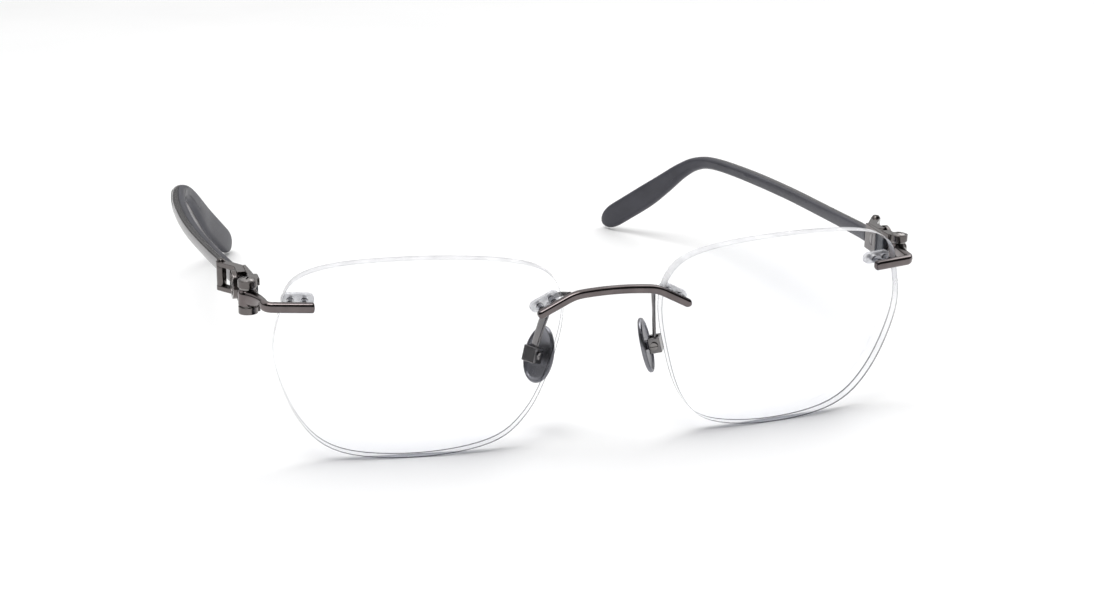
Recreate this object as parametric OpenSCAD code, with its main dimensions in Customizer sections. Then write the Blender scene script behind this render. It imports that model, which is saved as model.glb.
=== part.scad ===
// Rimless eyeglasses, open and standing on a table.
// +X is the wearer's left, +Y points back along the temples, +Z is up.
// The origin is under the middle of the glasses, on the table.
// Every paired piece is modelled for the wearer's left and mirrored for the right.

/* [Lenses] */
// Width of each lens
lens_w = 52; // [50:0.5:54]
// Gap between the two lenses at the nose
nose_gap = 19.5; // [19:0.25:20.5]
// Thickness of each lens
lens_t = 2; // [1.8:0.1:2.2]
// Radius of the lens surfaces
lens_curve_r = 138; // [130:1:150]
// Angle that each lens wraps around the face
lens_wrap = 6; // [5:0.25:7]
// Angle that the front leans forward when the glasses stand
front_lean = 6; // [5.5:0.1:6.5]

/* [Bars] */
// Height of the bridge bar
bar_h = 1.6; // [1.4:0.05:1.8]
// Height of the two endpiece bars
end_bar_h = 1.9; // [1.7:0.05:2]
// Depth of the square bars, front to back
bar_d = 1.5; // [1.3:0.05:1.6]
// Corner radius of the square bars
bar_round = 0.45; // [0.2:0.05:0.6]
// Radius of the mounting pins that pass through the lenses
prong_r = 0.4; // [0.3:0.05:0.45]
// Distance between the two pins of a mounting point
prong_pitch = 2.5; // [2.3:0.1:2.7]

/* [Hinges] */
// Distance of each hinge axis from the middle of the face
hinge_x = 64.6; // [64.4:0.1:65]
// Distance of the hinge axes behind the bridge
hinge_back = 11.9; // [11.5:0.1:12.5]
// Radius of the hinge barrel
barrel_r = 1.75; // [1.6:0.05:1.9]
// Radius of the hinge screw's shank
hinge_pin_r = 0.6; // [0.5:0.05:0.7]
// Height of the bottom of the barrel above the table
barrel_z = 27.5; // [27.2:0.1:27.8]

/* [Temples] */
// Thickness of the metal strip of each temple at the tip
strip_t = 1.25; // [1:0.05:1.4]
// Thickness at the tip of the liner on the inside of the strip
liner_t = 1.2; // [0.9:0.05:1.3]
// Turn of the right temple about its hinge, towards the other temple
right_turn = 1.4; // [1:0.1:1.5]
// Turn of the left temple about its hinge, away from the other temple
left_turn = 0.3; // [0:0.1:0.6]
// Distance from the hinge axis to the centre of the rounded tip
tip_reach = 135.3; // [134:0.1:137]

/* [Nose pads] */
// Height of each oval pad
pad_h = 11; // [10:0.25:12]
// Width of each oval pad
pad_w = 7; // [6.5:0.25:7.25]
// Thickness of each pad
pad_t = 1.1; // [0.9:0.05:1.3]
// Radius of the wire arm that carries each pad
wire_r = 0.45; // [0.4:0.05:0.5]

/* [Hidden] */

gunmetal = [0.36, 0.33, 0.33];
satin_metal = [0.5, 0.5, 0.52];
slate = [0.25, 0.25, 0.28];
clear = [0.86, 0.88, 0.93, 0.4];

play = 0.02;
round_fn = 64;
left = 1;
right = -1;

// Lens outline for a 52 mm lens: [towards the temple, up] from the lens centre
lens_knots = [
    [26, 0.5], [25, 9.5], [22.5, 15.5], [14.5, 18.5], [0, 19.5], [-14.5, 18.5], [-23, 15.5],
    [-26, 8.5], [-24, -2.5], [-20, -12], [-13.5, -17.5], [0, -19.5], [14, -18], [21.5, -11.5]
];
lens_steps = 6;
lens_x = (nose_gap + lens_w) / 2;
lens_low = 19.5 * lens_w / 52;

// The front's own frame: origin behind the bridge at mid lens height, on the lens vertex plane
bridge_ahead = 3.1;
tip_round = 3;
front_y = bridge_ahead - (bridge_ahead + hinge_back + tip_reach + tip_round) / 2;
front_z = lens_low * cos(front_lean) - 0.15;
hinge_y = front_y + hinge_back;

// Bridge: one bar with a shallow arch and two legs that lie on the lenses
bridge_corner = [8, 11.65];
bridge_leg = 7.65;
bridge_slope = 27.5;
bridge_rise = 0.5;
bridge_y = -1.15;
bridge_arch_r = (pow(bridge_corner[0], 2) + pow(bridge_rise, 2)) / (2 * bridge_rise);
nasal_first = 3.8;

// Endpiece bar, along the lens front at the temple side
end_bar_x = 54.5;
end_bar_z = 11.2;
end_bar_len = 8.95;
end_bar_back = 12;
end_bar_y = 3.0;
temporal_first = 1.9;
elbow_r = 1.6;

// Stack of knuckles along the hinge axis, heights above the table
low_knuckle_top = barrel_z + 1.35;
washer_t = 0.15;
mid_knuckle_z = low_knuckle_top + washer_t;
mid_knuckle_h = 3;
neck_t = 0.35;
top_knuckle_z = mid_knuckle_z + mid_knuckle_h + neck_t;
top_knuckle_h = 1.35;
screw_head_r = 1.3;
screw_head_t = 0.35;
plate_z = 27.9;
plate_h = 5.1;
plate_in = -2.2;
plate_rear_in = -1.25;
plate_out = -0.7;
plate_front = 2.3;
plate_back = 11.8;
rivet_y = 8.2;
rivet_z = 30.5;
rivet_in = -1.5;

// Temple centre line on the joint between strip and liner: [behind the hinge axis,
// outside it, above the table, half the height, thickness as a share of the tip's]
temple_knots = [
    [5.6, -0.65, 30.6, 1.5, 0.9],
    [12.1, -0.15, 30.3, 1.4, 0.9],
    [19, 0.7, 29.85, 1.35, 0.95],
    [38, 2.4, 28.6, 1.25, 1.05],
    [61, 3.8, 27.3, 1.2, 1.2],
    [84, 3.7, 26.1, 1.25, 1.3],
    [100, 2.3, 25.1, 1.4, 1.3],
    [107, 0.5, 23.6, 1.65, 1.25],
    [112, -1.5, 20.7, 2, 1.2],
    [118, -4, 15.9, 2.6, 1.15],
    [124, -6.5, 11.3, 3, 1.1],
    [tip_reach, -12, tip_round, tip_round, 1]
];
temple_steps = 4;
cap_steps = 5;
liner_start = 1;

// Shackle on the outside of the temple
post = [2.8, 15.2];
post_r = 0.9;
arm_t = 0.9;
arm_low = 27.5;
arm_high = 32.1;
post_pin_r = 0.4;
ring_r = 2.7;
ring_hole_r = 1.25;
ring_x = 1.05;
ring_t = 0.8;

// Nose pads: centre in the front's frame, then tilt and splay
pad_centre = [10.64, 9, -4.4];
pad_tilt = [-11.7, -14, 0];
pad_splay = -27;
box_off = 1.9;
box_size = [2.35, 3, 3];
box_front = -1.1;
lug_r = 0.8;
lug_w = 1.3;
pad_screw_r = 0.35;
wire_points = [[8.5, 0.1, 11.4], [9.7, 4.9, 9], [10.9, 7, 3.8], [11.9, 8.1, -2]];

// ---------- curves ----------

// Point at fraction t between b and c on a Catmull-Rom curve through a, b, c, d
function curve_point(a, b, c, d, t) =
    0.5 * (2 * b + (c - a) * t + (2 * a - 5 * b + 4 * c - d) * t * t
    + (3 * b - a - 3 * c + d) * t * t * t);

// Closed curve through all the points
function closed_curve(p, steps) =
    let (n = len(p))
    [for (i = [0 : n - 1]) for (k = [0 : steps - 1])
        curve_point(p[(i + n - 1) % n], p[i], p[(i + 1) % n], p[(i + 2) % n], k / steps)];

// Open curve from knot first to the last knot
function open_curve(p, first, steps) =
    let (n = len(p))
    concat(
        [for (i = [first : n - 2]) for (k = [0 : steps - 1])
            curve_point(p[max(i - 1, 0)], p[i], p[i + 1], p[min(i + 2, n - 1)], k / steps)],
        [p[n - 1]]);

function unit(v) = v / norm(v);

// ---------- frames ----------

module on_side(side) {
    $turn = side < 0 ? right_turn : -left_turn;
    mirror([side < 0 ? 1 : 0, 0, 0]) children();
}

module in_front() {
    translate([0, front_y, front_z]) rotate([front_lean, 0, 0]) children();
}

module in_lens() {
    in_front() translate([lens_x, 0, 0]) rotate([0, 0, lens_wrap]) children();
}

// Origin on the hinge axis at table height
module in_hinge() {
    translate([hinge_x, hinge_y, 0]) children();
}

// The same point, turned with the open temple of that side
module in_temple() {
    in_hinge() rotate([0, 0, $turn]) children();
}

// Origin at the first nasal pin, X down along the bridge leg, Y back through the lens
module in_nasal_mount() {
    in_front()
        translate([bridge_corner[0], bridge_y, bridge_corner[1]])
        rotate([0, bridge_slope, 0])
        translate([nasal_first, 0, 0])
        children();
}

// Origin at the first temporal pin, X out along the endpiece bar, Y back through the lens
module in_temporal_mount() {
    in_front()
        translate([end_bar_x, end_bar_y, end_bar_z])
        rotate([0, 0, end_bar_back])
        translate([temporal_first, 0, 0])
        children();
}

module in_pad() {
    in_front() translate(pad_centre) rotate(pad_tilt) rotate([0, 0, pad_splay]) children();
}

// ---------- shared shapes ----------

// Cross-section of the square bars, centred, height along X and depth along Y
module bar_section(height = bar_h) {
    inner = [height - 2 * bar_round, bar_d - 2 * bar_round];
    union() {
        square([height, inner[1]], center = true);
        square([inner[0], bar_d], center = true);
        for (sx = [-0.5, 0.5]) for (sy = [-0.5, 0.5])
            translate([sx * inner[0], sy * inner[1]]) circle(r = bar_round, $fn = 32);
    }
}

// Straight square bar from the origin along +X
module bar(length, height = bar_h) {
    rotate([0, 90, 0]) linear_extrude(length) bar_section(height);
}

// Pair of holes or pins through the mounting point, along Y
module mount_pair(r, from, to) {
    for (k = [0, 1])
        translate([k * prong_pitch, from, 0]) rotate([-90, 0, 0])
            cylinder(r = r, h = to - from, $fn = 32);
}

// Bar with round ends: length between the end centres, along X, thickness along Y
module pill(length, r, t) {
    rotate([-90, 0, 0]) linear_extrude(t) union() {
        translate([0, -r]) square([length, 2 * r]);
        circle(r = r, $fn = 48);
        translate([length, 0]) circle(r = r, $fn = 48);
    }
}

// Solid swept through rings of points
module sweep(rings) {
    n = len(rings[0]);
    m = len(rings);
    side_faces = [for (i = [0 : m - 2]) for (k = [0 : n - 1])
        let (a = i * n + k, b = i * n + (k + 1) % n)
        each [[a, b, b + n], [a, b + n, a + n]]];
    first_face = [[for (k = [0 : n - 1]) n - 1 - k]];
    last_face = [[for (k = [0 : n - 1]) (m - 1) * n + k]];
    polyhedron(points = [for (ring = rings) each ring],
        faces = concat(side_faces, first_face, last_face));
}

// ---------- lenses and their mounting ----------

module lens() {
    color(clear) difference() {
        in_lens() intersection() {
            translate([0, 14, 0]) rotate([90, 0, 0]) linear_extrude(20)
                scale(lens_w / 52) polygon(closed_curve(lens_knots, lens_steps));
            translate([0, lens_curve_r, 0]) difference() {
                sphere(r = lens_curve_r, $fn = 128);
                translate([0, lens_t, 0]) sphere(r = lens_curve_r, $fn = 128);
            }
        }
        in_nasal_mount() mount_pair(sleeve_r() + play, 0, 8);
        in_temporal_mount() mount_pair(sleeve_r() + play, 0, 8);
    }
}

function sleeve_r() = prong_r + 0.25;

// Clear double sleeve: two tubes in the lens holes, joined by a plate behind the lens
module sleeve(tube_from, plate_from) {
    plate_t = 0.8;
    difference() {
        union() {
            mount_pair(sleeve_r(), tube_from, plate_from + 0.2);
            translate([-0.6, plate_from, 0]) pill(prong_pitch + 1.2, 1.1, plate_t);
        }
        mount_pair(prong_r + play, 0, 10);
    }
}

module nasal_sleeve() {
    color(clear) in_nasal_mount() sleeve(1.3, 3.25);
}

module temporal_sleeve() {
    color(clear) in_temporal_mount() sleeve(1.5, 3.5);
}

module prongs(to) {
    mount_pair(prong_r, bar_d / 2, to);
}

// ---------- bridge ----------

module bridge_leg_bar() {
    translate([bridge_corner[0], 0, bridge_corner[1]]) rotate([0, bridge_slope, 0]) {
        bar(bridge_leg - bar_h / 2);
        translate([bridge_leg - bar_h / 2, 0, 0]) rotate([90, 0, 0])
            cylinder(r = bar_h / 2, h = bar_d, center = true, $fn = 32);
    }
}

module bridge_arch() {
    half_angle = asin(bridge_corner[0] / bridge_arch_r);
    translate([0, 0, bridge_corner[1] + bridge_rise - bridge_arch_r])
        rotate([90, 0, 0]) rotate([0, 0, 90 - half_angle])
        rotate_extrude(angle = 2 * half_angle, $fn = 256)
        translate([bridge_arch_r, 0]) bar_section();
}

module bridge_knee() {
    translate([bridge_corner[0], 0, bridge_corner[1]]) rotate([90, 0, 0])
        cylinder(r = bar_h / 2, h = bar_d, center = true, $fn = 32);
}

module bridge() {
    color(gunmetal) in_front() translate([0, bridge_y, 0]) union() {
        bridge_arch();
        for (side = [left, right]) on_side(side) {
            bridge_leg_bar();
            bridge_knee();
        }
    }
}

module bridge_prongs() {
    color(gunmetal) for (side = [left, right])
        on_side(side) in_nasal_mount() prongs(4.35);
}

// ---------- endpieces ----------

module in_end_bar() {
    in_front() translate([end_bar_x, end_bar_y, end_bar_z]) rotate([0, 0, end_bar_back])
        children();
}

module endpiece() {
    color(gunmetal) difference() {
        union() {
            in_end_bar() bar(end_bar_len - elbow_r, end_bar_h);
            in_end_bar() endpiece_elbow();
            in_hinge() endpiece_arm();
            in_hinge() translate([0, 0, mid_knuckle_z])
                cylinder(r = barrel_r, h = mid_knuckle_h, $fn = round_fn);
        }
        in_hinge() translate([0, 0, barrel_z])
            cylinder(r = hinge_pin_r + 0.05, h = 8, $fn = 48);
    }
}

// Turn of the bar from along the lens to straight back
module endpiece_elbow() {
    translate([end_bar_len - elbow_r, elbow_r, 0]) rotate([0, 0, -90])
        rotate_extrude(angle = 90 - end_bar_back, $fn = 64)
        translate([elbow_r, 0]) rotate([0, 0, 90]) bar_section(end_bar_h);
}

// Arm that grows taller and wider from the elbow back to the barrel
module endpiece_arm() {
    intersection() {
        translate([0, 0, mid_knuckle_z]) linear_extrude(mid_knuckle_h)
            polygon([[-2.38, -7.15], [-0.95, -7.15], [1.3, -1.1], [1.3, 0], [-1.45, 0], [-1.45, -1.1]]);
        translate([-4, 0, 0]) rotate([90, 0, 90]) linear_extrude(8)
            polygon([[-7.15, 29.95], [-7.15, 31.65], [-1.3, 31.95], [0, 31.95], [0, 29.1], [-1.3, 29.1]]);
    }
}

module endpiece_prongs() {
    color(gunmetal) in_temporal_mount() prongs(4.6);
}

// ---------- nose pads ----------

// Wire from the back of the bridge corner down to the pad box
module pad_arm() {
    color(satin_metal) in_front() for (k = [0 : len(wire_points) - 2]) {
        a = wire_points[k];
        b = wire_points[k + 1];
        d = b - a;
        translate(a) rotate([0, acos(d[2] / norm(d)), atan2(d[1], d[0])])
            cylinder(r = wire_r, h = norm(d), $fn = 32);
        if (k > 0) translate(a) sphere(r = wire_r + 0.03, $fn = 32);
    }
}

// U-shaped box that holds the pad's lug, open towards the nose
module pad_box() {
    color(satin_metal) in_pad() translate([box_off, 0, 0]) difference() {
        translate([box_front, -box_size[1] / 2, -box_size[2] / 2]) cube(box_size);
        translate([box_front - 1, -lug_w / 2 - 0.1, -box_size[2]])
            cube([1 - box_front + lug_r + 0.08, lug_w + 0.2, 2 * box_size[2]]);
        rotate([90, 0, 0])
            cylinder(r = pad_screw_r + play, h = 2 * box_size[1], center = true, $fn = 32);
    }
}

module pad_screw() {
    color(satin_metal) in_pad() translate([box_off, 0, 0]) {
        rotate([90, 0, 0])
            cylinder(r = pad_screw_r, h = box_size[1], center = true, $fn = 32);
        translate([0, -box_size[1] / 2, 0]) rotate([90, 0, 0]) difference() {
            cylinder(r = 0.75, h = 0.4, $fn = 32);
            translate([-1, -0.11, 0.2]) cube([2, 0.22, 1]);
        }
    }
}

// Oval pad with the lug that sits in the box
module nose_pad() {
    color(satin_metal) in_pad() union() {
        rotate([0, -90, 0]) linear_extrude(pad_t, center = true)
            polygon(closed_curve(pad_knots(), 6));
        difference() {
            union() {
                translate([0, -lug_w / 2, -lug_r]) cube([box_off, lug_w, 2 * lug_r]);
                translate([box_off, 0, 0]) rotate([90, 0, 0])
                    cylinder(r = lug_r, h = lug_w, center = true, $fn = 48);
            }
            translate([box_off, 0, 0]) rotate([90, 0, 0])
                cylinder(r = pad_screw_r + 0.05, h = 4, center = true, $fn = 32);
        }
    }
}

// Pad outline: [up, back], an egg that is a little wider below
function pad_knots() = [for (k = [0 : 11])
    let (a = 30 * k)
    [pad_h / 2 * cos(a), pad_w / 2 * sin(a) * (1 - 0.08 * cos(a))]];

// ---------- hinges ----------

// Plate inside the temple, with the upper and lower knuckles of the hinge
module hinge_block() {
    color(gunmetal) in_temple() difference() {
        union() {
            translate([0, 0, plate_z]) linear_extrude(plate_h)
                polygon([
                    [plate_in, plate_front], [plate_out, plate_front],
                    [plate_out, plate_back], [plate_rear_in, plate_back]
                ]);
            knuckle(barrel_z, low_knuckle_top - barrel_z);
            knuckle(top_knuckle_z, top_knuckle_h);
        }
        translate([0, 0, barrel_z - 1])
            cylinder(r = hinge_pin_r + play, h = 10, $fn = 48);
        translate([0, 0, top_knuckle_z + top_knuckle_h - screw_head_t])
            cylinder(r = screw_head_r + play, h = 1, $fn = 48);
        translate([0, 0, plate_z + 0.6]) linear_extrude(plate_h - 1.2)
            polygon([[plate_in - 1, 3], [-1.85, 3], [-1.5, 6.3], [plate_in - 1, 6.3]]);
        translate([-3, rivet_y, rivet_z]) rotate([0, 90, 0])
            cylinder(r = 0.6 + play, h = 4, $fn = 48);
        translate([-3, rivet_y, rivet_z]) rotate([0, 90, 0])
            cylinder(r = 1.15 + play, h = 3 + rivet_in, $fn = 48);
        translate([rivet_in - 0.01, rivet_y, rivet_z]) rotate([0, 90, 0])
            cylinder(r1 = 1.15 + play, r2 = 0.6 + play, h = 0.5, $fn = 48);
    }
}

// Ring around the hinge axis with a web back to the plate
module knuckle(z, h) {
    translate([0, 0, z]) {
        cylinder(r = barrel_r, h = h, $fn = round_fn);
        translate([plate_in, 0.2, 0]) cube([1.9, plate_front + 0.8, h]);
    }
}

module hinge_screw() {
    head_z = top_knuckle_z + top_knuckle_h - screw_head_t;
    color(gunmetal) in_temple() difference() {
        union() {
            translate([0, 0, barrel_z]) cylinder(r = hinge_pin_r, h = head_z - barrel_z, $fn = 48);
            translate([0, 0, head_z]) cylinder(r = screw_head_r, h = screw_head_t, $fn = 48);
            translate([0, 0, head_z + screw_head_t])
                cylinder(r1 = screw_head_r, r2 = 0.7, h = 0.3, $fn = 48);
        }
        for (turn = [0, 90]) translate([0, 0, head_z + 0.25]) rotate([0, 0, turn + 20])
            translate([-0.8, -0.14, 0]) cube([1.6, 0.28, 1]);
    }
}

// Thin washers above and below the endpiece knuckle
module hinge_washers() {
    gap = 0.02;
    color(satin_metal) in_temple() {
        washer(low_knuckle_top + gap, washer_t - 2 * gap);
        washer(mid_knuckle_z + mid_knuckle_h + gap, neck_t - 2 * gap);
    }
}

module washer(z, h) {
    translate([0, 0, z]) difference() {
        cylinder(r = barrel_r - 0.3, h = h, $fn = 48);
        translate([0, 0, -1]) cylinder(r = hinge_pin_r + 0.05, h = 2, $fn = 48);
    }
}

// ---------- temples ----------

// Rings of a strip: profile is a list of [across, share of the half height]
function temple_rings(path, profile) =
    let (n = len(path))
    [for (i = [0 : n - 1])
        let (p = path[i],
            ahead = path[min(i + 1, n - 1)],
            behind = path[max(i - 1, 0)],
            step = [ahead[1] - behind[1], ahead[0] - behind[0], ahead[2] - behind[2]],
            plan = unit([step[0], step[1]]),
            out = [plan[1], -plan[0], 0],
            along = unit(step),
            up = cross(out, along))
        [for (q = profile)
            [p[1], p[0], p[2]] + p[4] * q[0] * out
            + (q[1] * p[3] + sign(q[1]) * min(q[2], 0) * min(1, p[3])) * up]];

// Path with the rounded end of the tip added
function temple_path(first) =
    let (path = open_curve(temple_knots, first, temple_steps),
        n = len(path),
        last = path[n - 1],
        step = last - path[n - 2],
        dir = [step[0], step[1], step[2], 0, 0] / norm([step[0], step[1], step[2]]))
    concat(path, [for (k = [1 : cap_steps])
        let (a = 84 * k / cap_steps)
        [last[0], last[1], last[2], tip_round * cos(a), last[4]] + tip_round * sin(a) * dir]);

strip_profile = [
    [0.01, -1, 0], [0.65 * strip_t, -1, 0], [0.95 * strip_t, -1, -0.5], [strip_t, 0, 0],
    [0.95 * strip_t, 1, -0.5], [0.65 * strip_t, 1, 0], [0.01, 1, 0]
];
liner_profile = [
    [-0.01, 1, 0], [-0.7 * liner_t, 1, 0], [-liner_t, 1, -0.4],
    [-liner_t, -1, -0.4], [-0.7 * liner_t, -1, 0], [-0.01, -1, 0]
];

module temple_strip() {
    color(gunmetal) in_temple() difference() {
        sweep(temple_rings(temple_path(0), strip_profile));
        translate([-2, rivet_y, rivet_z]) rotate([0, 90, 0])
            cylinder(r = 0.6 + play, h = 6, $fn = 48);
    }
}

module temple_liner() {
    color(slate) in_temple() sweep(temple_rings(temple_path(liner_start), liner_profile));
}

// Countersunk screw through the plate and the strip into the ring
module block_screw() {
    color(satin_metal) in_temple() translate([rivet_in, rivet_y, rivet_z]) rotate([0, 90, 0])
        difference() {
            union() {
                cylinder(r1 = 1.15, r2 = 0.6, h = 0.5, $fn = 48);
                cylinder(r = 0.6, h = ring_x + ring_t - rivet_in, $fn = 48);
            }
            translate([-1.2, -0.13, -0.01]) cube([2.4, 0.26, 0.2]);
        }
}

// ---------- shackle on the outside of each temple ----------

module ring() {
    color(gunmetal) in_temple() translate([ring_x, rivet_y, rivet_z]) rotate([0, 90, 0])
        difference() {
            cylinder(r = ring_r, h = ring_t, $fn = round_fn);
            translate([0, 0, ring_t - 0.3]) difference() {
                cylinder(r = ring_r - 0.7, h = 1, $fn = round_fn);
                cylinder(r = ring_hole_r, h = 1, $fn = round_fn);
            }
            translate([0, 0, -1]) cylinder(r = 0.6 + play, h = 3, $fn = 48);
        }
}

// Two flat arms, from the plate over and under the strip to the post
module shackle() {
    color(gunmetal) in_temple() for (z = [arm_low, arm_high]) translate([0, 0, z])
        difference() {
            linear_extrude(arm_t) union() {
                polygon([
                    [plate_out, 7.4], [0.95, 7.4], [0.95, 11.1],
                    [3.5, 14.6], [2.1, 15.8], [plate_out, plate_back]
                ]);
                translate(post) circle(r = post_r + 0.05, $fn = 48);
            }
            translate([post[0], post[1], -1]) cylinder(r = post_pin_r + play, h = 4, $fn = 32);
        }
}

// Post between the arms, held by a screw with a domed head above
module shackle_pin() {
    color(gunmetal) in_temple() translate([post[0], post[1], 0]) difference() {
        union() {
            translate([0, 0, arm_low])
                cylinder(r = post_pin_r, h = arm_high - arm_low + arm_t + 0.2, $fn = 32);
            translate([0, 0, arm_low + arm_t])
                cylinder(r = post_r, h = arm_high - arm_low - arm_t, $fn = 48);
            translate([0, 0, arm_high + arm_t])
                cylinder(r1 = post_r, r2 = 0.6, h = 0.45, $fn = 48);
        }
        translate([-1, -0.1, arm_high + arm_t + 0.25]) cube([2, 0.2, 1]);
    }
}

// ---------- nodes ----------

bridge();
bridge_prongs();
on_side(left) lens();  // lens_left
on_side(right) lens();  // lens_right
on_side(left) nasal_sleeve();  // nasal_sleeve_left
on_side(right) nasal_sleeve();  // nasal_sleeve_right
on_side(left) temporal_sleeve();  // temporal_sleeve_left
on_side(right) temporal_sleeve();  // temporal_sleeve_right
on_side(left) endpiece();  // endpiece_left
on_side(right) endpiece();  // endpiece_right
on_side(left) endpiece_prongs();  // endpiece_prongs_left
on_side(right) endpiece_prongs();  // endpiece_prongs_right
on_side(left) pad_arm();  // pad_arm_left
on_side(right) pad_arm();  // pad_arm_right
on_side(left) pad_box();  // pad_box_left
on_side(right) pad_box();  // pad_box_right
on_side(left) pad_screw();  // pad_screw_left
on_side(right) pad_screw();  // pad_screw_right
on_side(left) nose_pad();  // nose_pad_left
on_side(right) nose_pad();  // nose_pad_right
on_side(left) hinge_block();  // hinge_block_left
on_side(right) hinge_block();  // hinge_block_right
on_side(left) hinge_screw();  // hinge_screw_left
on_side(right) hinge_screw();  // hinge_screw_right
on_side(left) hinge_washers();  // hinge_washers_left
on_side(right) hinge_washers();  // hinge_washers_right
on_side(left) temple_strip();  // temple_strip_left
on_side(right) temple_strip();  // temple_strip_right
on_side(left) temple_liner();  // temple_liner_left
on_side(right) temple_liner();  // temple_liner_right
on_side(left) block_screw();  // block_screw_left
on_side(right) block_screw();  // block_screw_right
on_side(left) ring();  // ring_left
on_side(right) ring();  // ring_right
on_side(left) shackle();  // shackle_left
on_side(right) shackle();  // shackle_right
on_side(left) shackle_pin();  // shackle_pin_left
on_side(right) shackle_pin();  // shackle_pin_right
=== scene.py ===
"""Looks of the rimless eyeglasses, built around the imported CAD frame.

Row frame, in metres: +X is the wearer's left, +Y points back along the temples, +Z is up,
and the origin is on the table under the middle of the glasses. Shapes are written in
millimetres and scaled once, when each mesh is made.
"""
import math

import bmesh
import bpy
from mathutils import Matrix, Vector


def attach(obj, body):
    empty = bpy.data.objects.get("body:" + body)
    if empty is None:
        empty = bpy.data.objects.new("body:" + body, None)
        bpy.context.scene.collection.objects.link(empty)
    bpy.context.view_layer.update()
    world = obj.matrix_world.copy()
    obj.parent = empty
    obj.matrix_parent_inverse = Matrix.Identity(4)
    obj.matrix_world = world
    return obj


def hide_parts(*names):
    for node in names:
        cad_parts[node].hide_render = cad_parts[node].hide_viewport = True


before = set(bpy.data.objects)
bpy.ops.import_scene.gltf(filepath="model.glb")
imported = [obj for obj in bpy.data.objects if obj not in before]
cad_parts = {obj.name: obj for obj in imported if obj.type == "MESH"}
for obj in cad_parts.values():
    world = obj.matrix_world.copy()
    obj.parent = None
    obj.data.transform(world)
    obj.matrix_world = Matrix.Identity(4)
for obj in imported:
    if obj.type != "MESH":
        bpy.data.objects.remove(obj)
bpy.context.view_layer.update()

MM = 0.001
SIDES = {"left": 1, "right": -1}

# ---------- sizes shared with the CAD part, in millimetres ----------

LENS_WRAP = 6.0
FRONT_LEAN = 6.0
FRONT_Y = -73.55
FRONT_Z = 19.243
HINGE_X = 64.6
HINGE_Y = FRONT_Y + 11.9
TEMPLE_TURN = {"left": -0.3, "right": 1.4}
BAR_DEPTH = 1.5

# ---------- small maths ----------


def degrees_turn(angle, axis):
    return Matrix.Rotation(math.radians(angle), 4, axis)


def front_frame():
    """The leaning front: origin behind the bridge, at mid lens height."""
    return Matrix.Translation((0, FRONT_Y, FRONT_Z)) @ degrees_turn(FRONT_LEAN, "X")


def hinge_frame():
    return Matrix.Translation((HINGE_X, HINGE_Y, 0))


def temple_frame(side):
    return hinge_frame() @ degrees_turn(TEMPLE_TURN[side], "Z")


def lerp(a, b, t):
    return a + (b - a) * t


def smoothstep(t):
    t = min(max(t, 0.0), 1.0)
    return t * t * (3 - 2 * t)


def curve_point(a, b, c, d, t):
    """Catmull-Rom point between b and c, for tuples of any length."""
    return tuple(
        0.5 * (2 * q + (r - p) * t + (2 * p - 5 * q + 4 * r - s) * t * t + (3 * q - p - 3 * r + s) * t ** 3)
        for p, q, r, s in zip(a, b, c, d)
    )


def open_curve(knots, steps, first=0):
    """Smooth open line through knots, from the first that is asked for."""
    last = len(knots) - 1
    points = []
    for i in range(first, last):
        around = (knots[max(i - 1, 0)], knots[i], knots[i + 1], knots[min(i + 2, last)])
        points += [curve_point(*around, k / steps) for k in range(steps)]
    points.append(knots[last])
    return points


def soft_square(width, height, power=2.7, steps=44):
    """Square with crowned faces and wide soft corners, counter-clockwise, as (x, y) pairs."""
    points = []
    for k in range(steps):
        angle = 2 * math.pi * (k + 0.5) / steps
        c = math.cos(angle)
        s = math.sin(angle)
        points.append((
            width / 2 * math.copysign(abs(c) ** (2 / power), c),
            height / 2 * math.copysign(abs(s) ** (2 / power), s),
        ))
    return points


# ---------- meshes ----------

WELD = 1e-6  # metres
FLAT_ANGLE = 0.6  # degrees


def new_object(name, bm, placing, side):
    """A mesh object from a bmesh in millimetres, placed and mirrored for its side of the face."""
    mirror = Matrix.Scale(-1, 4, (1, 0, 0)) if side == "right" else Matrix.Identity(4)
    bm.transform(Matrix.Scale(MM, 4) @ mirror @ placing)
    bmesh.ops.recalc_face_normals(bm, faces=bm.faces)
    mesh = bpy.data.meshes.new(name)
    bm.to_mesh(mesh)
    bm.free()
    obj = bpy.data.objects.new(name, mesh)
    bpy.context.scene.collection.objects.link(obj)
    return obj


def shade(obj, sharp_angle=38):
    for face in obj.data.polygons:
        face.use_smooth = True
    obj.data.set_sharp_from_angle(angle=math.radians(sharp_angle))


def add_rings(bm, rings, cap=True):
    """Skin over closed rings of 3-D points."""
    loops = [[bm.verts.new(p) for p in ring] for ring in rings]
    count = len(loops[0])
    for a, b in zip(loops, loops[1:]):
        for k in range(count):
            bm.faces.new((a[k], a[(k + 1) % count], b[(k + 1) % count], b[k]))
    if cap:
        bm.faces.new(list(reversed(loops[0])))
        bm.faces.new(loops[-1])


def add_lathe(bm, profile, centre=(0, 0), steps=64):
    """Closed profile of (radius, height) pairs, turned about a vertical axis."""
    loops = []
    for k in range(steps):
        angle = 2 * math.pi * k / steps
        loops.append([
            bm.verts.new((centre[0] + r * math.cos(angle), centre[1] + r * math.sin(angle), z))
            for r, z in profile
        ])
    count = len(profile)
    for i in range(steps):
        a = loops[i]
        b = loops[(i + 1) % steps]
        for k in range(count):
            bm.faces.new((a[k], a[(k + 1) % count], b[(k + 1) % count], b[k]))


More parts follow.
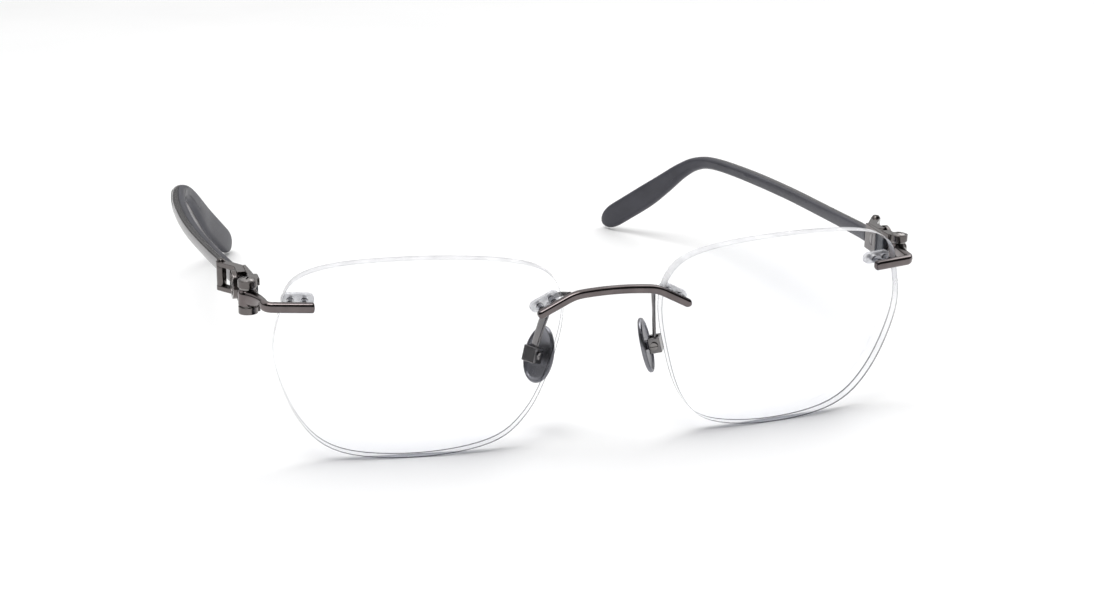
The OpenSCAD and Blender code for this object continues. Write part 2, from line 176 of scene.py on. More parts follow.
def node_copy(node, prefix):
    """A copy of a CAD node as a new object, and the bmesh of its welded mesh."""
    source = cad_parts[node].data
    mesh = bpy.data.meshes.new(prefix + node)
    mesh.from_pydata([v.co for v in source.vertices], [], [tuple(p.vertices) for p in source.polygons])
    bm = bmesh.new()
    bm.from_mesh(mesh)
    bmesh.ops.remove_doubles(bm, verts=bm.verts, dist=WELD)
    obj = bpy.data.objects.new(prefix + node, mesh)
    bpy.context.scene.collection.objects.link(obj)
    return obj, bm


def keep_bmesh(obj, bm):
    bm.to_mesh(obj.data)
    bm.free()
    return obj


def apply_modifiers(obj):
    bpy.context.view_layer.update()
    evaluated = obj.evaluated_get(bpy.context.evaluated_depsgraph_get())
    obj.data = bpy.data.meshes.new_from_object(evaluated)
    obj.modifiers.clear()
    return obj


def softened(node, bevel, segments=3, bevel_angle=32):
    """A copy of a CAD node with flat faces joined and its edges rounded by a bevel in mm."""
    obj, bm = node_copy(node, "soft_")
    bmesh.ops.dissolve_limit(bm, angle_limit=math.radians(FLAT_ANGLE), verts=bm.verts, edges=bm.edges)
    keep_bmesh(obj, bm)
    rounding = obj.modifiers.new("rounding", "BEVEL")
    rounding.width = bevel * MM
    rounding.segments = segments
    rounding.limit_method = "ANGLE"
    rounding.angle_limit = math.radians(bevel_angle)
    rounding.use_clamp_overlap = True
    apply_modifiers(obj)
    shade(obj)
    return obj


def cast(obj, cell, passes):
    """Melts an object into one smooth skin with soft fillets, at cells of this size in mm."""
    remesh = obj.modifiers.new("skin", "REMESH")
    remesh.mode = "VOXEL"
    remesh.voxel_size = cell * MM
    remesh.use_smooth_shade = True
    melt = obj.modifiers.new("melt", "SMOOTH")
    melt.factor = 0.5
    melt.iterations = passes
    return apply_modifiers(obj)


def place(obj, body, slot, material, *nodes):
    """Give a new piece its material and body, and hide the CAD nodes that it stands for."""
    obj.data.materials.clear()
    obj.data.materials.append(material)
    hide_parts(*nodes)
    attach(obj, body)
    return obj


# ---------- materials ----------


def new_material(name):
    material = bpy.data.materials.new(name)
    material.use_nodes = True
    tree = material.node_tree
    shader = tree.nodes["Principled BSDF"]
    return material, tree, shader


def noise(tree, scale, detail=4.0, stretch=(1, 1, 1)):
    """Noise in object space; scale is in features per metre."""
    coords = tree.nodes.new("ShaderNodeTexCoord")
    mapping = tree.nodes.new("ShaderNodeMapping")
    mapping.inputs["Scale"].default_value = stretch
    texture = tree.nodes.new("ShaderNodeTexNoise")
    texture.inputs["Scale"].default_value = scale
    texture.inputs["Detail"].default_value = detail
    tree.links.new(coords.outputs["Object"], mapping.inputs["Vector"])
    tree.links.new(mapping.outputs["Vector"], texture.inputs["Vector"])
    return texture.outputs["Fac"]


def ranged(tree, value, low, high, to_low, to_high):
    """Maps a value from one range onto another."""
    node = tree.nodes.new("ShaderNodeMapRange")
    node.inputs["From Min"].default_value = low
    node.inputs["From Max"].default_value = high
    node.inputs["To Min"].default_value = to_low
    node.inputs["To Max"].default_value = to_high
    tree.links.new(value, node.inputs["Value"])
    return node.outputs["Result"]


def spread(tree, value, low, high):
    """Maps the middle of a noise onto a range."""
    return ranged(tree, value, 0.3, 0.7, low, high)


def tint(tree, value, dark, light):
    ramp = tree.nodes.new("ShaderNodeValToRGB")
    ramp.color_ramp.elements[0].position = 0.35
    ramp.color_ramp.elements[0].color = (*dark, 1)
    ramp.color_ramp.elements[1].position = 0.65
    ramp.color_ramp.elements[1].color = (*light, 1)
    tree.links.new(value, ramp.inputs["Fac"])
    return ramp.outputs["Color"]


def bump(tree, shader, value, depth_mm, strength=1.0):
    node = tree.nodes.new("ShaderNodeBump")
    node.inputs["Distance"].default_value = depth_mm * MM
    node.inputs["Strength"].default_value = strength
    tree.links.new(value, node.inputs["Height"])
    tree.links.new(node.outputs["Normal"], shader.inputs["Normal"])


def metal(name, dark, light, rough, grain_depth):
    """Plated metal: slight clouding of the colour, uneven polish and a fine grain of this depth in mm."""
    material, tree, shader = new_material(name)
    shader.inputs["Metallic"].default_value = 1.0
    cloud = noise(tree, 350, 3)
    fine = noise(tree, 3500, 3)
    tree.links.new(tint(tree, cloud, dark, light), shader.inputs["Base Color"])
    tree.links.new(spread(tree, fine, rough[0], rough[1]), shader.inputs["Roughness"])
    bump(tree, shader, fine, grain_depth)
    return material


def see_through(tree, colour, shader, share):
    """Shows a clear pass-through of this colour, covered by a share of another shader."""
    pass_through = tree.nodes.new("ShaderNodeBsdfTransparent")
    tree.links.new(colour, pass_through.inputs["Color"])
    mix = tree.nodes.new("ShaderNodeMixShader")
    if isinstance(share, float):
        mix.inputs["Fac"].default_value = share
    else:
        tree.links.new(share, mix.inputs["Fac"])
    tree.links.new(pass_through.outputs["BSDF"], mix.inputs[1])
    tree.links.new(shader.outputs["BSDF"], mix.inputs[2])
    tree.links.new(mix.outputs["Shader"], tree.nodes["Material Output"].inputs["Surface"])


def clear_lens_material():
    """Coated clear lens: light goes straight through, with a faint reflection at low angles."""
    material, tree, shader = new_material("clear_lens")
    tree.nodes.remove(shader)
    smudge = noise(tree, 60, 2)
    gloss = tree.nodes.new("ShaderNodeBsdfGlossy")
    gloss.inputs["Roughness"].default_value = 0.02
    gloss.inputs["Color"].default_value = (0.9, 0.92, 1.0, 1)
    share = tree.nodes.new("ShaderNodeFresnel")
    share.inputs["IOR"].default_value = 1.2
    colour = tint(tree, smudge, (0.975, 0.977, 0.985), (0.985, 0.987, 0.99))
    see_through(tree, colour, gloss, share.outputs["Fac"])
    return material


def arithmetic(tree, operation, *values):
    node = tree.nodes.new("ShaderNodeMath")
    node.operation = operation
    for value, socket in zip(values, node.inputs):
        tree.links.new(value, socket)
    return node.outputs["Value"]


def surface_value(tree, name):
    """A number that lens() stores on the mesh."""
    node = tree.nodes.new("ShaderNodeAttribute")
    node.attribute_name = name
    return node.outputs["Fac"]


def lens_edge_material(name, tone, rim_shade_tone, high_cover):
    """Ground lens edge: clear in its middle, with dark lines painted along its rims for the internal
    reflection there (painted reflection), deepened as painted shade where it faces down.

    The parts that face up catch the light instead.
    """
    material, tree, shader = new_material(name)
    cloud = noise(tree, 260, 3)
    # Painted shade: a dark tone is mixed in along the rims, by a stored share that grows where the edge
    # faces down.
    near_rim = ranged(tree, arithmetic(tree, "ABSOLUTE", surface_value(tree, "across")), 0.55, 0.8, 0, 1)
    rim = tree.nodes.new("ShaderNodeMix")
    rim.data_type = "RGBA"
    rim.inputs["B"].default_value = (*rim_shade_tone, 1)
    rim_shade_share = arithmetic(tree, "MULTIPLY", near_rim, surface_value(tree, "rim_shade_by_facing"))
    tree.links.new(rim_shade_share, rim.inputs["Factor"])
    shade_tone = tuple(0.97 * c for c in tone)
    tree.links.new(tint(tree, cloud, shade_tone, tone), rim.inputs["A"])
    frosted = tint(tree, cloud, (0.66, 0.66, 0.68), (0.86, 0.86, 0.88))
    tree.links.new(frosted, shader.inputs["Base Color"])
    tree.links.new(spread(tree, cloud, 0.12, 0.3), shader.inputs["Roughness"])
    # Partly painted highlight: the lamps light the frosted cover, but the cover is made thicker where the
    # edge faces up so that it shows as a pale band.
    cover = ranged(tree, surface_value(tree, "faces_up"), 0, 1, 0.02, high_cover)
    see_through(tree, rim.outputs["Result"], shader, cover)
    return material


def clear_sleeve_material():
    """Clear moulded sleeve with fine ridges across it."""
    material, tree, shader = new_material("clear_sleeve")
    coords = tree.nodes.new("ShaderNodeTexCoord")
    ridges = tree.nodes.new("ShaderNodeTexWave")
    ridges.inputs["Scale"].default_value = 500
    ridges.inputs["Distortion"].default_value = 1.2
    tree.links.new(coords.outputs["Object"], ridges.inputs["Vector"])
    bump(tree, shader, ridges.outputs["Fac"], 0.05)
    cloud = noise(tree, 900, 3)
    tree.links.new(spread(tree, cloud, 0.06, 0.22), shader.inputs["Roughness"])
    tree.links.new(tint(tree, cloud, (0.7, 0.7, 0.72), (0.94, 0.94, 0.95)), shader.inputs["Base Color"])
    see_through(tree, tint(tree, cloud, (0.86, 0.86, 0.87), (0.98, 0.98, 0.98)), shader, 0.36)
    return material


def acetate_material():
    """Slate acetate with a satin polish, faint clouds and very fine grain."""
    material, tree, shader = new_material("slate_acetate")
    cloud = noise(tree, 160, 5, (1, 0.4, 1))
    fine = noise(tree, 4200, 3)
    slate = tint(tree, cloud, (0.034, 0.034, 0.044), (0.05, 0.05, 0.064))
    tree.links.new(slate, shader.inputs["Base Color"])
    tree.links.new(spread(tree, fine, 0.32, 0.46), shader.inputs["Roughness"])
    shader.inputs["Specular IOR Level"].default_value = 0.35
    bump(tree, shader, fine, 0.006)
    return material


METALS = {
    "gunmetal_bar": ((0.135, 0.117, 0.116), (0.165, 0.143, 0.141), (0.12, 0.18), 0.0012),
    "gunmetal_hinge": ((0.125, 0.114, 0.11), (0.16, 0.146, 0.142), (0.13, 0.2), 0.0012),
    "gunmetal_temple": ((0.135, 0.13, 0.133), (0.165, 0.158, 0.162), (0.2, 0.26), 0.0002),
    "satin_steel": ((0.15, 0.145, 0.145), (0.2, 0.19, 0.19), (0.14, 0.22), 0.0012),
    "screw_steel": ((0.2, 0.19, 0.185), (0.28, 0.265, 0.26), (0.12, 0.2), 0.0012),
    "pad_titanium": ((0.19, 0.19, 0.205), (0.23, 0.23, 0.25), (0.26, 0.36), 0.001),
    # Near-black, rougher metal for the hinge plate's hollow: painted shade there.
    "plate_hollow_shade": ((0.035, 0.04, 0.047), (0.05, 0.055, 0.064), (0.3, 0.42), 0.0012),
}
MATERIALS = {name: metal(name, *finish) for name, finish in METALS.items()}
MATERIALS["clear_lens"] = clear_lens_material()
# Painted shade in both edge materials: dark rim tones, and the bevel lets only about half the light through,
# a painted dark line for the light bent away at its slope.
MATERIALS["lens_edge"] = lens_edge_material("lens_edge", (0.95, 0.95, 0.955), (0.1, 0.1, 0.11), 0.8)
MATERIALS["lens_bevel"] = lens_edge_material("lens_bevel", (0.55, 0.55, 0.56), (0.08, 0.08, 0.09), 0.1)
MATERIALS["clear_sleeve"] = clear_sleeve_material()
MATERIALS["slate_acetate"] = acetate_material()

# ---------- lenses ----------

LENS_BEVEL = 0.26
EDGE_FACING = 0.2
BEVEL_FACING = 0.93
# Share of the painted rim shade where the lens edge faces sideways.
SIDE_RIM_SHADE = 0.35


def lens_axis(side):
    """Direction straight back through the middle of a lens."""
    wrapped = front_frame().to_3x3() @ degrees_turn(LENS_WRAP, "Z").to_3x3() @ Vector((0, 1, 0))
    return Vector((wrapped.x * SIDES[side], wrapped.y, wrapped.z))


def store(mesh, name, domain, values):
    mesh.attributes.new(name, "FLOAT", domain).data.foreach_set("value", values)


def lens(side):
    """The CAD lens with safety bevels round its edge, and a ground edge with its own material.

    Each vertex keeps where it is across the edge, from -1 at one rim to 1 at the other, and
    each face keeps how far it faces up, and how much painted rim shade it takes, most where it faces down.
    """
    node = "lens_" + side
    obj = softened(node, LENS_BEVEL, 2, 50)
    place(obj, "front", "clear_lens", MATERIALS["clear_lens"], node)
    obj.data.materials.append(MATERIALS["lens_edge"])
    obj.data.materials.append(MATERIALS["lens_bevel"])
    axis = lens_axis(side)
    mesh = obj.data
    depth = [vertex.co.dot(axis) for vertex in mesh.vertices]
    across = [1.0] * len(depth)
    for face in mesh.polygons:
        facing = abs(face.normal.dot(axis))
        if facing < EDGE_FACING:
            face.material_index = 1
            depths = [depth[v] for v in face.vertices]
            middle = (min(depths) + max(depths)) / 2
            for v in face.vertices:
                across[v] = math.copysign(1.0, depth[v] - middle)
        elif facing < BEVEL_FACING:
            face.material_index = 2
    store(mesh, "across", "POINT", across)
    upward = [face.normal.z for face in mesh.polygons]
    store(mesh, "faces_up", "FACE", [smoothstep((z + 0.1) / 0.7) for z in upward])
    # Painted shade share for the rims: full where the face turns down, less where it faces sideways.
    store(mesh, "rim_shade_by_facing", "FACE", [lerp(SIDE_RIM_SHADE, 1, smoothstep(0.3 - z)) for z in upward])
    return obj


# ---------- bridge ----------

BRIDGE_CORNER = (8.0, 11.65)
BRIDGE_LEG = 7.65
BRIDGE_SLOPE = 27.5
BRIDGE_RISE = 0.5
BRIDGE_Y = -1.15
BRIDGE_HEIGHT = 1.6


def bridge_line():
    """Centre line of half the bridge as (x, z), from the middle to the round end of the leg."""
    corner_x, corner_z = BRIDGE_CORNER
    arch_radius = (corner_x ** 2 + BRIDGE_RISE ** 2) / (2 * BRIDGE_RISE)
    bend = 1.5
    slope = math.radians(BRIDGE_SLOPE)
    points = []
    for k in range(25):
        x = (corner_x - bend) * k / 24
        points.append((x, corner_z + BRIDGE_RISE - arch_radius + math.sqrt(arch_radius ** 2 - x ** 2)))
    start = points[-1]
    leg_dir = (math.cos(slope), -math.sin(slope))
    end = (corner_x + bend * leg_dir[0], corner_z + bend * leg_dir[1])
    for k in range(1, 13):
        t = k / 12
        points.append(tuple(
            (1 - t) ** 2 * s + 2 * t * (1 - t) * c + t ** 2 * e
            for s, c, e in zip(start, (corner_x, corner_z), end)
        ))
    straight = BRIDGE_LEG - bend
    for k in range(1, 41):
        along = straight * (1 - (1 - k / 40) ** 2)
        points.append((end[0] + along * leg_dir[0], end[1] + along * leg_dir[1]))
    return points


def bar_rings(line, height, depth, end_radius):
    """Rings of a rounded square bar along a line of (point, sideways, upward, distance to the end)."""
    rings = []
    for point, side_dir, up_dir, to_end in line:
        shrink = 1.0
        if to_end < end_radius:
            shrink = math.sqrt(max(1 - (1 - to_end / end_radius) ** 2, 0.0025))
        section = soft_square(depth * (0.55 + 0.45 * shrink), height * shrink)
        rings.append([point + side_dir * q[0] + up_dir * q[1] for q in section])
    return rings


def bridge():
    half = [Vector((x, BRIDGE_Y, z)) for x, z in bridge_line()]
    points = [Vector((-p.x, p.y, p.z)) for p in reversed(half[1:])] + half
    lengths = [0.0]
    for a, b in zip(points, points[1:]):
        lengths.append(lengths[-1] + (b - a).length)
    line = []
    for i, p in enumerate(points):
        along = (points[min(i + 1, len(points) - 1)] - points[max(i - 1, 0)]).normalized()
        up = Vector((0, 1, 0)).cross(along) * -1
        line.append((p, Vector((0, 1, 0)), up, min(lengths[i], lengths[-1] - lengths[i])))
    bm = bmesh.new()
    add_rings(bm, bar_rings(line, BRIDGE_HEIGHT, BAR_DEPTH, BRIDGE_HEIGHT / 2))
    obj = new_object("bridge_bar", bm, front_frame(), "left")
    shade(obj, 60)
    return place(obj, "front", "gunmetal_bar", MATERIALS["gunmetal_bar"], "bridge")


# ---------- endpieces ----------

END_BAR = Vector((54.5, 3.0, 11.2))
END_BAR_LENGTH = 8.95
END_BAR_BACK = 12.0
END_BAR_HEIGHT = 1.9
ELBOW_RADIUS = 1.6
BARREL_RADIUS = 1.75
BARREL_BORE = 0.65
MID_KNUCKLE = (29.0, 32.0)


def endpiece(side):
    """Square bar along the lens, a round elbow, and an arm that swells into the middle knuckle."""
    to_row = front_frame()
    turn = degrees_turn(END_BAR_BACK, "Z").to_3x3()
    along = turn @ Vector((1, 0, 0))
    back = turn @ Vector((0, 1, 0))
    up = Vector((0, 0, 1))
    straight = END_BAR_LENGTH - ELBOW_RADIUS
    line = []
    for k in range(33):
        distance = straight * (k / 32) ** 2
        line.append((to_row @ (END_BAR + along * distance), back, up, distance))
    centre = END_BAR + along * straight + back * ELBOW_RADIUS
    turn_total = 90 - END_BAR_BACK
    for k in range(1, 17):
        angle = math.radians(turn_total * k / 16)
        outward = -back * math.cos(angle) + along * math.sin(angle)
        line.append((to_row @ (centre + outward * ELBOW_RADIUS), -outward, up, 9.0))
    bm = bmesh.new()
    rotation = to_row.to_3x3()
    turned = [(p, rotation @ s, rotation @ u, e) for p, s, u, e in line]
    rings = bar_rings(turned, END_BAR_HEIGHT, BAR_DEPTH, 0.35)
    start, side_dir, up_dir, _ = turned[-1]
    goal = Vector((HINGE_X - 0.1, HINGE_Y - 0.78, sum(MID_KNUCKLE) / 2))
    for k in range(1, 21):
        t = k / 20
        point = start.lerp(goal, t)
        swell = smoothstep(t)
        point.x = lerp(start.x, goal.x, t ** 1.6)
        point.z = lerp(start.z, goal.z, swell)
        width = lerp(BAR_DEPTH, 2.7, t ** 2)
        height = lerp(END_BAR_HEIGHT, MID_KNUCKLE[1] - MID_KNUCKLE[0] - 0.06, smoothstep(t * 1.05))
        tilt = side_dir.lerp(Vector((-1, 0, 0)), t).normalized()
        lift = up_dir.lerp(Vector((0, 0, 1)), t).normalized()
        section = soft_square(width, height)
        rings.append([point + tilt * q[0] + lift * q[1] for q in section])
    add_rings(bm, rings)
    low, high = MID_KNUCKLE
    add_lathe(bm, [
        (BARREL_BORE, low + 0.02),
        (BARREL_RADIUS - 0.12, low + 0.02),
        (BARREL_RADIUS, low + 0.14),
        (BARREL_RADIUS, high - 0.75),
        (BARREL_RADIUS - 0.1, high - 0.45),
        (BARREL_RADIUS - 0.35, high - 0.15),
        (BARREL_RADIUS - 0.42, high),
        (BARREL_BORE, high),
    ], (HINGE_X, HINGE_Y))
    obj = cast(new_object("endpiece_bar_" + side, bm, Matrix.Identity(4), side), 0.08, 4)
    return place(obj, "front", "gunmetal_bar", MATERIALS["gunmetal_bar"], "endpiece_" + side)


# ---------- temples ----------

TIP_REACH = 135.3
TIP_ROUND = 3.0
TIP_TAPER = 6.0
STRIP = 1.25
LINER = 1.2
TEMPLE_KNOTS = [
    (5.6, -0.65, 30.6, 1.5, 0.9),
    (12.1, -0.15, 30.3, 1.4, 0.9),
    (19, 0.7, 29.85, 1.35, 0.95),
    (38, 2.4, 28.6, 1.25, 1.05),
    (61, 3.8, 27.3, 1.2, 1.2),
    (84, 3.7, 26.1, 1.25, 1.3),
    (100, 2.3, 25.1, 1.4, 1.3),
    (107, 0.5, 23.6, 1.65, 1.25),
    (112, -1.5, 20.7, 2, 1.2),
    (118, -4, 15.9, 2.6, 1.15),
    (124, -6.5, 11.3, 3, 1.1),
    (TIP_REACH, -12, TIP_ROUND, TIP_ROUND, 1),
]


def temple_stations(first):
    """(centre, outward, upward, half height, thickness share, end share) along one temple."""
    path = open_curve(TEMPLE_KNOTS, 14, first)
    last = path[-1]
    step = Vector(last[:3]) - Vector(path[-2][:3])
    step.normalize()
    cap_steps = 14
    for k in range(1, cap_steps + 1):
        moved = Vector(last[:3]) + step * TIP_ROUND * math.sin(math.radians(89 * k / cap_steps))
        path.append((*moved, TIP_ROUND, last[4]))
    left_over = 0.0
    ends = []
    for i in range(len(path) - 1, -1, -1):
        if i < len(path) - 1:
            left_over += (Vector(path[i + 1][:3]) - Vector(path[i][:3])).length
        taper = max(1 - left_over / TIP_TAPER, 0.0)
        ends.insert(0, max(1 - taper ** 2.2, 0.001) ** 0.5)
    path = [(p[0], p[1], p[2], p[3] * end, p[4]) for p, end in zip(path, ends)]
    stations = []
    for i, p in enumerate(path):
        ahead = path[min(i + 1, len(path) - 1)]
        behind = path[max(i - 1, 0)]
        along = Vector((ahead[1] - behind[1], ahead[0] - behind[0], ahead[2] - behind[2])).normalized()
        plan = Vector((along.x, along.y, 0)).normalized()
        outward = Vector((plan.y, -plan.x, 0))
        centre = Vector((p[1], p[0], p[2]))
        stations.append((centre, outward, outward.cross(along), p[3], p[4], ends[i] ** 0.5))
    return stations


def temple_section(inner, outer, half, soft_side, radius):
    """Closed section between two distances across, with its far corners rounded."""
    points = []
    steps = 7
    sign = 1 if outer > inner else -1
    crown = 0.07 * abs(outer - inner)
    for low_high in (-1, 1):
        corner = (outer - sign * (radius + crown), low_high * (half - radius))
        for k in range(steps + 1):
            turn = math.radians(90 * k / steps)
            if low_high < 0:
                dx, dz = math.sin(turn), -math.cos(turn)
            else:
                dx, dz = math.cos(turn), math.sin(turn)
            points.append((corner[0] + sign * radius * dx, corner[1] + radius * dz))
        if low_high < 0:
            points.append((outer - sign * crown * 0.35, -0.45 * half))
            points.append((outer, 0.0))
            points.append((outer - sign * crown * 0.35, 0.45 * half))
    tiny = min(soft_side, 0.4 * half)
    points.append((inner + sign * tiny, half))
    points.append((inner, half - tiny))
    points.append((inner, -half + tiny))
    points.append((inner + sign * tiny, -half))
    return points


def temple_part(side, name, first, thickness, body_nodes, material):
    bm = bmesh.new()
    rings = []
    for centre, outward, upward, half, share, end in temple_stations(first):
        reach = thickness * share * end
        half = max(half, 0.12)
        gap = math.copysign(0.015, thickness)
        soft = lerp(0.42, 0.86, smoothstep((centre.y - 70) / 40))
        radius = soft * min(abs(reach), half)
        section = temple_section(gap, reach, half, 0.06, radius)
        rings.append([centre + outward * q[0] + upward * q[1] for q in section])
    add_rings(bm, rings)
    obj = new_object(name + "_" + side, bm, temple_frame(side), side)
    shade(obj, 50)
    return place(obj, side + "_temple", material, MATERIALS[material], *body_nodes)


def temple(side):
    temple_part(side, "metal_strip", 0, STRIP, ["temple_strip_" + side], "gunmetal_temple")
    temple_part(side, "acetate_liner", 1, -LINER, ["temple_liner_" + side], "slate_acetate")


# ---------- nose pads ----------

PAD_CENTRE = (10.64, 9.0, -4.4)
PAD_TILT = (-11.7, -14.0)
PAD_SPLAY = -27.0
PAD_HEIGHT = 11.0
PAD_WIDTH = 7.0
PAD_THICKNESS = 1.1
BOX_OFF = 1.9
LUG_WIDTH = 1.3
LUG_RADIUS = 0.8
LUG_EDGE = 0.12
WIRE_POINTS = [(8.5, 0.1, 11.4), (9.7, 4.9, 9.0), (10.9, 7.0, 3.8), (11.9, 8.1, -2.0)]
WIRE_RADIUS = 0.45
BAND_TURN = math.radians(18)


def pad_frame():
    tilt = degrees_turn(PAD_TILT[1], "Y") @ degrees_turn(PAD_TILT[0], "X")
    return front_frame() @ Matrix.Translation(PAD_CENTRE) @ tilt @ degrees_turn(PAD_SPLAY, "Z")


def pad_outline(share, across, steps=72):
    """Egg-shaped ring of the pad, shrunk by a share, at a distance across."""
    ring = []
    for k in range(steps):
        angle = 2 * math.pi * k / steps
        up = PAD_HEIGHT / 2 * math.cos(angle) * share
        width = PAD_WIDTH / 2 * math.sin(angle) * (1 - 0.08 * math.cos(angle)) * share
        ring.append(Vector((across, width, up)))
    return ring


def nose_pad(side):
    """Crowned plate with a raised rim round its back, and the lug that sits in the box."""
    bm = bmesh.new()
    half = PAD_THICKNESS / 2
    profile = [
        (0.02, 0.12), (0.45, 0.14), (0.80, 0.2), (0.86, 0.3), (0.90, half - 0.02), (0.93, half),
        (0.97, half - 0.07), (0.995, half - 0.25), (1.0, 0.1), (0.995, -0.12), (0.97, -0.26),
        (0.93, -0.34), (0.80, -0.44), (0.55, -0.52), (0.25, -half + 0.01), (0.02, -half),
    ]
    add_rings(bm, [pad_outline(share, across) for share, across in profile])
    lug = []
    for k in range(25):
        angle = math.radians(-90 + 180 * k / 24)
        lug.append((BOX_OFF + LUG_RADIUS * math.cos(angle), LUG_RADIUS * math.sin(angle)))
    lug += [(0.1, LUG_RADIUS), (0.1, -LUG_RADIUS)]
    half_lug = LUG_WIDTH / 2
    inset = half_lug - LUG_EDGE
    rings = []
    for shrink, y in ((LUG_EDGE, -half_lug), (0, -inset), (0, inset), (LUG_EDGE, half_lug)):
        rings.append([Vector((lerp(x, BOX_OFF, shrink), y, z * (1 - shrink))) for x, z in lug])
    add_rings(bm, rings)
    obj = new_object("pad_" + side, bm, pad_frame(), side)
    shade(obj, 45)
    return place(obj, side + "_pad", "pad_titanium", MATERIALS["pad_titanium"], "nose_pad_" + side)


def pad_arm(side):
    """Bent wire, round at the bridge and pressed flat where it meets the box."""
    points = open_curve(WIRE_POINTS, 12)
    rings = []
    for i, p in enumerate(points):
        ahead = Vector(points[min(i + 1, len(points) - 1)])
        behind = Vector(points[max(i - 1, 0)])
        along = (ahead - behind).normalized()
        side_dir = along.cross(Vector((0, 1, 0))).normalized()
        back_dir = side_dir.cross(along).normalized()
        flat = smoothstep((i / (len(points) - 1) - 0.35) / 0.3)
        thin = WIRE_RADIUS * lerp(1.0, 0.8, flat)
        wide = WIRE_RADIUS * lerp(1.0, 2.2, flat)
        wide_dir = back_dir * math.cos(BAND_TURN) + side_dir * math.sin(BAND_TURN)
        thin_dir = side_dir * math.cos(BAND_TURN) - back_dir * math.sin(BAND_TURN)
        section = soft_square(2 * thin, 2 * wide, lerp(2.0, 3.0, flat), 24)
        rings.append([Vector(p) + thin_dir * q[0] + wide_dir * q[1] for q in section])
    bm = bmesh.new()
    add_rings(bm, rings)
    obj = new_object("wire_arm_" + side, bm, front_frame(), side)
    shade(obj, 50)
    return place(obj, "front", "satin_steel", MATERIALS["satin_steel"], "pad_arm_" + side)


# ---------- small CAD pieces, shown with rounded edges or as they are ----------

ROUNDED = {
    "nasal_sleeve": (0.12, "front", "clear_sleeve"),
    "temporal_sleeve": (0.12, "front", "clear_sleeve"),
    "pad_screw": (0.08, "front", "screw_steel"),
    "hinge_screw": (0.05, "temple", "screw_steel"),
    "shackle_pin": (0.1, "temple", "gunmetal_hinge"),
    "block_screw": (0.04, "temple", "screw_steel"),
}
CAST = {
    "pad_box": (0.07, 8, "front", "satin_steel"),
    "hinge_block": (0.08, 5, "temple", "gunmetal_hinge"),
    "ring": (0.06, 5, "temple", "gunmetal_hinge"),
    "shackle": (0.07, 6, "temple", "gunmetal_hinge"),
}
HOLLOW_X = (-1.3, -1.4)
HOLLOW_Y = (0.4, 6.3)
HOLLOW_Z = (28.6, 32.4)
AS_THEY_ARE = {
    "bridge_prongs": "gunmetal_bar",
    "endpiece_prongs_left": "gunmetal_bar",
    "endpiece_prongs_right": "gunmetal_bar",
    "hinge_washers_left": "screw_steel",
    "hinge_washers_right": "screw_steel",
}


def riding(body, side):
    return side + "_temple" if body == "temple" else body


def small_pieces(side):
    for node, (bevel, body, slot) in ROUNDED.items():
        name = node + "_" + side
        place(softened(name, bevel), riding(body, side), slot, MATERIALS[slot], name)
    for node, (cell, passes, body, slot) in CAST.items():
        name = node + "_" + side
        obj = cast(keep_bmesh(*node_copy(name, "cast_")), cell, passes)
        place(obj, riding(body, side), slot, MATERIALS[slot], name)
        if node == "hinge_block":
            # The hollow in the hinge plate is painted with shade.
            paint_hollow_shade(obj, side)


def paint_hollow_shade(obj, side):
    """The shallow hollow on the inside of the hinge plate gets a dark, matt material: painted shade for the
    hollow.
    """
    obj.data.materials.append(MATERIALS["plate_hollow_shade"])
    to_hinge = temple_frame(side).inverted()
    for face in obj.data.polygons:
        centre = face.center / MM
        here = to_hinge @ Vector((centre.x * SIDES[side], centre.y, centre.z))
        behind = HOLLOW_Y[0] < here.y < HOLLOW_Y[1]
        level = HOLLOW_Z[0] < here.z < HOLLOW_Z[1]
        if behind and level and here.x < lerp(*HOLLOW_X, here.y / HOLLOW_Y[1]):
            face.material_index = 1


def carried_over():
    for node, slot in AS_THEY_ARE.items():
        for material_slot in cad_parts[node].material_slots:
            material_slot.material = MATERIALS[slot]


# ---------- stage, lights and camera ----------


def floor_material():
    material, tree, shader = new_material("floor_paper")
    grain = noise(tree, 9, 4)
    tree.links.new(tint(tree, grain, (0.93, 0.93, 0.93), (0.955, 0.955, 0.955)), shader.inputs["Base Color"])
    shader.inputs["Roughness"].default_value = 0.9
    shader.inputs["Specular IOR Level"].default_value = 0.1
    return material


FLOOR_RADIUS = 4.0  # metres
FLOOR_DROP = 0.00002  # metres
FLOOR_SIDES = 96


def stage():
    bm = bmesh.new()
    rim = []
    for k in range(FLOOR_SIDES):
        angle = 2 * math.pi * k / FLOOR_SIDES
        across = FLOOR_RADIUS * math.cos(angle)
        back = FLOOR_RADIUS * math.sin(angle)
        rim.append(bm.verts.new((across, back, -FLOOR_DROP)))
    bm.faces.new(rim)
    mesh = bpy.data.meshes.new("floor")
    bm.to_mesh(mesh)
    bm.free()
    floor = bpy.data.objects.new("floor", mesh)
    bpy.context.scene.collection.objects.link(floor)
    floor.data.materials.append(floor_material())


def grey_ramp(tree, value, stops):
    ramp = tree.nodes.new("ShaderNodeValToRGB")
    elements = ramp.color_ramp.elements
    elements[0].position = stops[0][0]
    elements[1].position = stops[-1][0]
    for position, _ in stops[1:-1]:
        elements.new(position)
    for element, (_, level) in zip(elements, stops):
        element.color = (level, level, level, 1)
    tree.links.new(value, ramp.inputs["Fac"])
    return ramp.outputs["Color"]


DARK_WALL = [(0.0, 0.9), (0.02, 0.03), (0.86, 0.05), (0.95, 1.3), (1.0, 1.4)]
BRIGHT_ROOM = [(0.0, 0.9), (0.02, 0.15), (0.18, 0.2), (0.26, 0.95), (1.0, 1.4)]
SEEN_ROOM = 1.15
ROOM_STRENGTH = 0.85


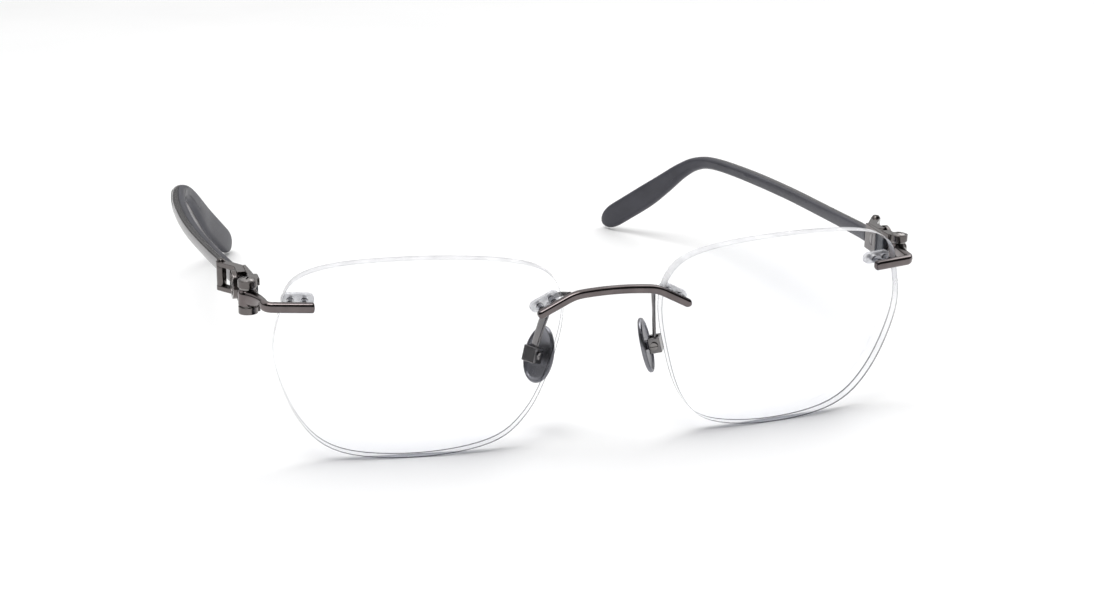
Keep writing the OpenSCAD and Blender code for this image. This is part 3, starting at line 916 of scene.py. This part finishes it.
def studio_world():
    """Pale studio: bright behind and above with a dark band low down, and a dark wall in front."""
    world = bpy.data.worlds.new("studio")
    world.use_nodes = True
    tree = world.node_tree
    background = tree.nodes["Background"]
    coords = tree.nodes.new("ShaderNodeTexCoord")
    split = tree.nodes.new("ShaderNodeSeparateXYZ")
    tree.links.new(coords.outputs["Generated"], split.inputs["Vector"])
    wall = grey_ramp(tree, split.outputs["Z"], DARK_WALL)
    bright = grey_ramp(tree, split.outputs["Z"], BRIGHT_ROOM)
    behind = grey_ramp(tree, split.outputs["Y"], [(0.0, 0.0), (0.12, 1.0)])
    room = tree.nodes.new("ShaderNodeMix")
    room.data_type = "RGBA"
    tree.links.new(behind, room.inputs["Factor"])
    tree.links.new(wall, room.inputs["A"])
    tree.links.new(bright, room.inputs["B"])
    path = tree.nodes.new("ShaderNodeLightPath")
    seen = tree.nodes.new("ShaderNodeMix")
    seen.data_type = "RGBA"
    seen.inputs["B"].default_value = (SEEN_ROOM, SEEN_ROOM, SEEN_ROOM, 1)
    tree.links.new(path.outputs["Is Camera Ray"], seen.inputs["Factor"])
    tree.links.new(room.outputs["Result"], seen.inputs["A"])
    tree.links.new(seen.outputs["Result"], background.inputs["Color"])
    background.inputs["Strength"].default_value = ROOM_STRENGTH
    bpy.context.scene.world = world


GLASSES_AT = (0, 0, 0.02)
KEY_AT = (-0.3, -0.25, 1.0)
KEY_POWER = 6.2
FILL_AT = (0.7, 0.3, 0.8)
FILL_POWER = 3.4


def soft_light(name, place_at, aim, size, power):
    data = bpy.data.lights.new(name, "AREA")
    data.shape = "RECTANGLE"
    data.size = size[0]
    data.size_y = size[1]
    data.energy = power
    light = bpy.data.objects.new(name, data)
    light.location = place_at
    light.rotation_euler = (Vector(aim) - Vector(place_at)).to_track_quat("-Z", "Y").to_euler()
    bpy.context.scene.collection.objects.link(light)


CAMERA_AT = (-0.11208, -0.3758, 0.12836)
CAMERA_RIGHT = (0.9515, -0.307, 0.02)
CAMERA_FORWARD = (0.2985, 0.9057, -0.3009)
CAMERA_LENS = 60.7


def camera():
    """Camera in front of the glasses, to the wearer's right and above them."""
    right = Vector(CAMERA_RIGHT).normalized()
    forward = Vector(CAMERA_FORWARD).normalized()
    up = right.cross(forward).normalized()
    matrix = Matrix((right, up, -forward)).transposed().to_4x4()
    matrix.translation = Vector(CAMERA_AT)
    data = bpy.data.cameras.new("camera")
    data.sensor_width = 36.0
    data.lens = CAMERA_LENS
    data.clip_start = 0.01
    data.clip_end = 20.0
    obj = bpy.data.objects.new("camera", data)
    obj.matrix_world = matrix
    bpy.context.scene.collection.objects.link(obj)
    bpy.context.scene.camera = obj


def main():
    camera()
    studio_world()
    stage()
    soft_light("key", KEY_AT, GLASSES_AT, (0.6, 0.6), KEY_POWER)
    soft_light("fill", FILL_AT, GLASSES_AT, (0.8, 0.8), FILL_POWER)
    bpy.context.scene.view_settings.view_transform = "Standard"
    bridge()
    carried_over()
    for side in SIDES:
        lens(side)
        endpiece(side)
        temple(side)
        nose_pad(side)
        pad_arm(side)
        small_pieces(side)


main()
